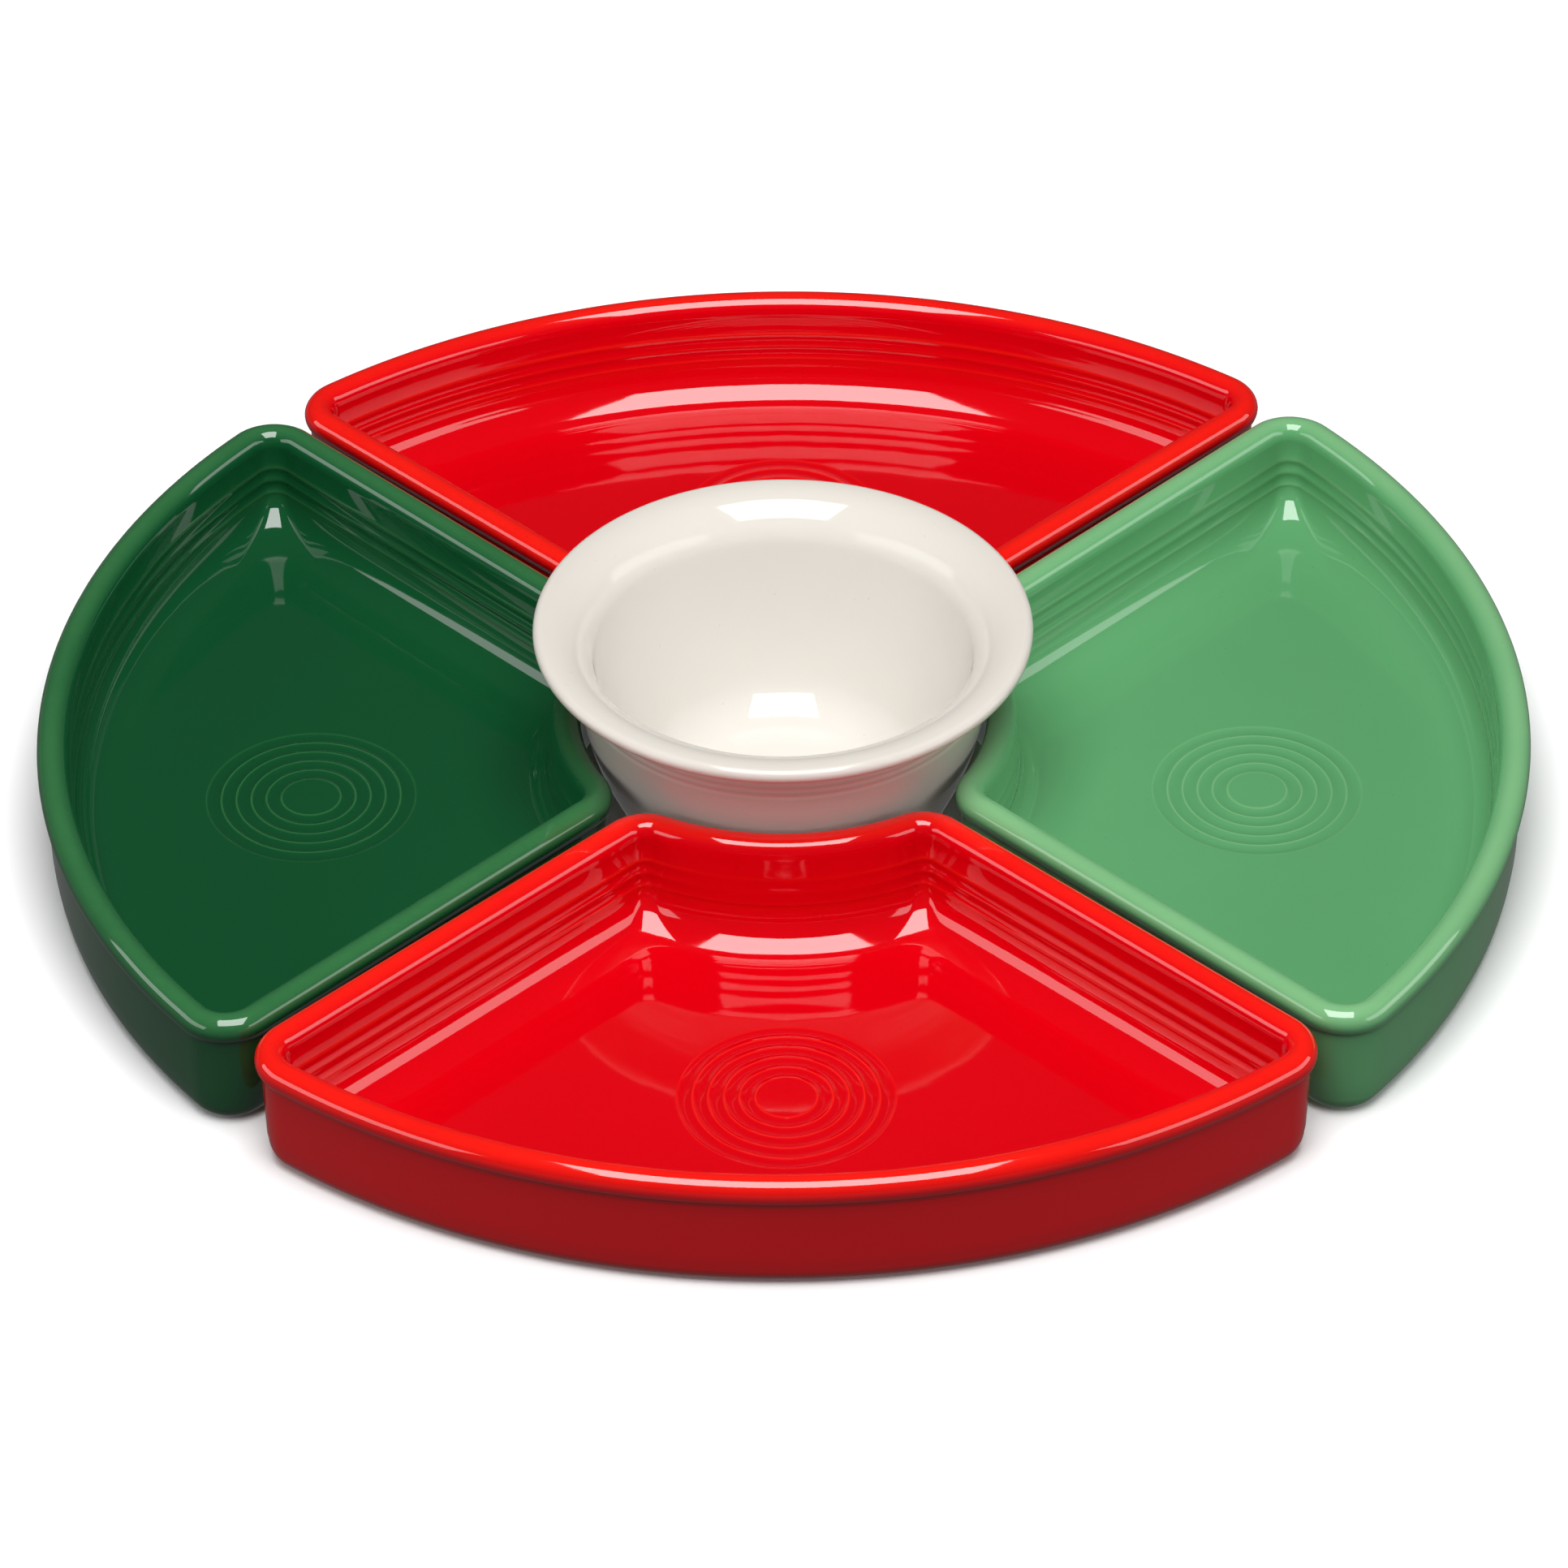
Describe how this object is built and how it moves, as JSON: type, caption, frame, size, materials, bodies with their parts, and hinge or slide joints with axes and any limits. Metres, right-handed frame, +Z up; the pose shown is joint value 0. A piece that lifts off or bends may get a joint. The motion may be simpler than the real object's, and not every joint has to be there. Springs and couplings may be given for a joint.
{
  "type": "chip and dip server",
  "caption": "Glazed ceramic serving set: quarter-ring trays with rolled rims stand in a circle around a flared round dip bowl.",
  "frame": {"origin": "on the table under the middle of the dip bowl, where the trays' centre lines cross", "axes": "+Z up out of the bowl, -Y along the front tray, +X along the right tray"},
  "size_m": [0.429, 0.429, 0.067],
  "materials": {
    "red_glaze": "gloss",
    "dark_green_glaze": "gloss",
    "light_green_glaze": "gloss",
    "ivory_glaze": "gloss"
  },
  "bodies": {
    "tray_back": {"tray_back": "red_glaze"},
    "tray_left": {"tray_left": "dark_green_glaze"},
    "tray_right": {"tray_right": "light_green_glaze"},
    "tray_front": {"tray_front": "red_glaze"},
    "dip_bowl": {"dip_bowl": "ivory_glaze"}
  },
  "joints": [
    {"name": "bowl_lift", "type": "slide", "parent": "tray_back", "child": "dip_bowl", "axis": [0, 0, 1], "range_m": [0, 0.12]},
    {"name": "tray_front_pull", "type": "slide", "parent": "tray_back", "child": "tray_front", "axis": [0, -1, 0], "range_m": [0, 0.15]},
    {"name": "tray_left_pull", "type": "slide", "parent": "tray_back", "child": "tray_left", "axis": [-1, 0, 0], "range_m": [0, 0.15]},
    {"name": "tray_right_pull", "type": "slide", "parent": "tray_back", "child": "tray_right", "axis": [1, 0, 0], "range_m": [0, 0.15]}
  ]
}
